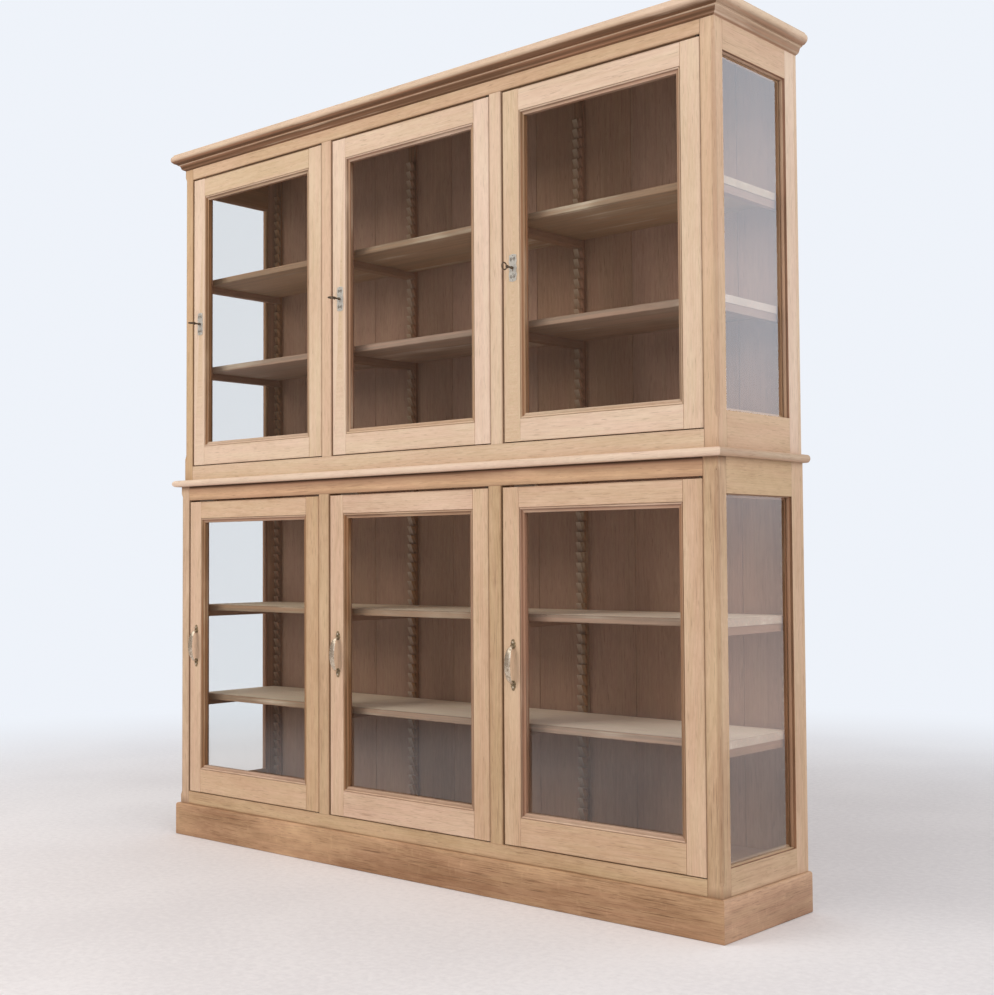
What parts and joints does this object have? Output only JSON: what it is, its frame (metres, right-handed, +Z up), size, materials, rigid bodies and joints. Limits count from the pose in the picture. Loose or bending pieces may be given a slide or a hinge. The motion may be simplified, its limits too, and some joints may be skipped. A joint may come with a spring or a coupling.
{
  "type": "glazed display cabinet",
  "caption": "Tall two-tier oak display cabinet with glazed doors and ends, keyed locks above, bow pulls below, shelves on saw-tooth racks, a plinth and a moulded cornice.",
  "frame": {"origin": "bottom centre of the bounding box, on the floor", "axes": "+Z up, the doors face -Y, +X to the right as seen from the front"},
  "size_m": [2.1246, 0.429, 2.22],
  "materials": {
    "pale_oak": "bare sanded oak",
    "warm_oak": "bare sanded oak, warmer",
    "plinth_oak": "scuffed bare oak",
    "red_oak": "old finish left in the rebates",
    "shelf_wood": "bare softwood",
    "back_wood": "darkened softwood",
    "glass": "clear window glass",
    "brass": "cast, worn",
    "nickel": "dulled nickel",
    "iron": "dark, smooth",
    "steel": "bright drawn"
  },
  "bodies": {
    "carcass": {"base_back": "back_wood", "base_floor": "shelf_wood", "base_front_bottom_rail": "warm_oak", "base_front_top_rail": "warm_oak", "base_higher_shelf": "shelf_wood", "base_left_end_frame": "warm_oak", "base_left_end_glass": "glass", "base_lower_shelf": "shelf_wood", "base_mullion_1": "warm_oak", "base_mullion_2": "warm_oak", "base_right_end_frame": "warm_oak", "base_right_end_glass": "glass", "cornice": "pale_oak", "deck_board": "pale_oak", "plinth": "plinth_oak", "roof_board": "pale_oak", "upper_back": "back_wood", "upper_front_bottom_rail": "pale_oak", "upper_front_top_rail": "pale_oak", "upper_higher_shelf": "shelf_wood", "upper_left_end_frame": "pale_oak", "upper_left_end_glass": "glass", "upper_lower_shelf": "shelf_wood", "upper_mullion_1": "pale_oak", "upper_mullion_2": "pale_oak", "upper_right_end_frame": "pale_oak", "upper_right_end_glass": "glass"},
    "base_left_door": {"base_left_door_beads": "red_oak", "base_left_door_frame": "warm_oak", "base_left_door_glass": "glass", "base_left_door_handle": "brass"},
    "base_middle_door": {"base_middle_door_beads": "red_oak", "base_middle_door_frame": "warm_oak", "base_middle_door_glass": "glass", "base_middle_door_handle": "brass"},
    "base_right_door": {"base_right_door_beads": "red_oak", "base_right_door_frame": "warm_oak", "base_right_door_glass": "glass", "base_right_door_handle": "brass"},
    "upper_left_door": {"upper_left_door_beads": "red_oak", "upper_left_door_frame": "pale_oak", "upper_left_door_glass": "glass", "upper_left_door_keyhole_plate": "nickel", "upper_left_door_lock_case": "iron"},
    "upper_left_key": {"upper_left_door_key": "iron"},
    "upper_left_bolt": {"upper_left_door_bolt": "steel"},
    "upper_middle_door": {"upper_middle_door_beads": "red_oak", "upper_middle_door_frame": "pale_oak", "upper_middle_door_glass": "glass", "upper_middle_door_keyhole_plate": "nickel", "upper_middle_door_lock_case": "iron"},
    "upper_middle_key": {"upper_middle_door_key": "iron"},
    "upper_middle_bolt": {"upper_middle_door_bolt": "steel"},
    "upper_right_door": {"upper_right_door_beads": "red_oak", "upper_right_door_frame": "pale_oak", "upper_right_door_glass": "glass", "upper_right_door_keyhole_plate": "nickel", "upper_right_door_lock_case": "iron"},
    "upper_right_key": {"upper_right_door_key": "iron"},
    "upper_right_bolt": {"upper_right_door_bolt": "steel"}
  },
  "joints": [
    {"name": "base_left_door_hinge", "type": "hinge", "parent": "carcass", "child": "base_left_door", "pos_m": [-0.36875, -0.1745, 0.14], "axis": [0, 0, 1], "range_deg": [0, 110]},
    {"name": "base_middle_door_hinge", "type": "hinge", "parent": "carcass", "child": "base_middle_door", "pos_m": [0.30525, -0.1745, 0.14], "axis": [0, 0, 1], "range_deg": [0, 110]},
    {"name": "base_right_door_hinge", "type": "hinge", "parent": "carcass", "child": "base_right_door", "pos_m": [0.97925, -0.1745, 0.14], "axis": [0, 0, 1], "range_deg": [0, 110]},
    {"name": "upper_left_door_hinge", "type": "hinge", "parent": "carcass", "child": "upper_left_door", "pos_m": [-0.36675, -0.1635, 1.189], "axis": [0, 0, 1], "range_deg": [0, 110]},
    {"name": "upper_middle_door_hinge", "type": "hinge", "parent": "carcass", "child": "upper_middle_door", "pos_m": [0.30525, -0.1635, 1.189], "axis": [0, 0, 1], "range_deg": [0, 110]},
    {"name": "upper_right_door_hinge", "type": "hinge", "parent": "carcass", "child": "upper_right_door", "pos_m": [0.97725, -0.1635, 1.189], "axis": [0, 0, 1], "range_deg": [0, 110]},
    {"name": "upper_left_key_turn", "type": "hinge", "parent": "upper_left_door", "child": "upper_left_key", "pos_m": [-0.947, -0.1685, 1.651], "axis": [0, -1, 0], "range_deg": [-90, 90]},
    {"name": "upper_left_bolt_slide", "type": "slide", "parent": "upper_left_door", "child": "upper_left_bolt", "axis": [-1, 0, 0], "range_m": [-0.006, 0.006]},
    {"name": "upper_middle_key_turn", "type": "hinge", "parent": "upper_middle_door", "child": "upper_middle_key", "pos_m": [-0.275, -0.1685, 1.651], "axis": [0, -1, 0], "range_deg": [-90, 90]},
    {"name": "upper_middle_bolt_slide", "type": "slide", "parent": "upper_middle_door", "child": "upper_middle_bolt", "axis": [-1, 0, 0], "range_m": [-0.006, 0.006]},
    {"name": "upper_right_key_turn", "type": "hinge", "parent": "upper_right_door", "child": "upper_right_key", "pos_m": [0.397, -0.1685, 1.651], "axis": [0, -1, 0], "range_deg": [0, 180]},
    {"name": "upper_right_bolt_slide", "type": "slide", "parent": "upper_right_door", "child": "upper_right_bolt", "axis": [-1, 0, 0], "range_m": [0, 0.012]}
  ],
  "couplings": [
    {"joint": "upper_left_bolt_slide", "follows": "upper_left_key_turn", "m_per_rad": 0.0038197},
    {"joint": "upper_middle_bolt_slide", "follows": "upper_middle_key_turn", "m_per_rad": 0.0038197},
    {"joint": "upper_right_bolt_slide", "follows": "upper_right_key_turn", "m_per_rad": 0.0038197}
  ]
}
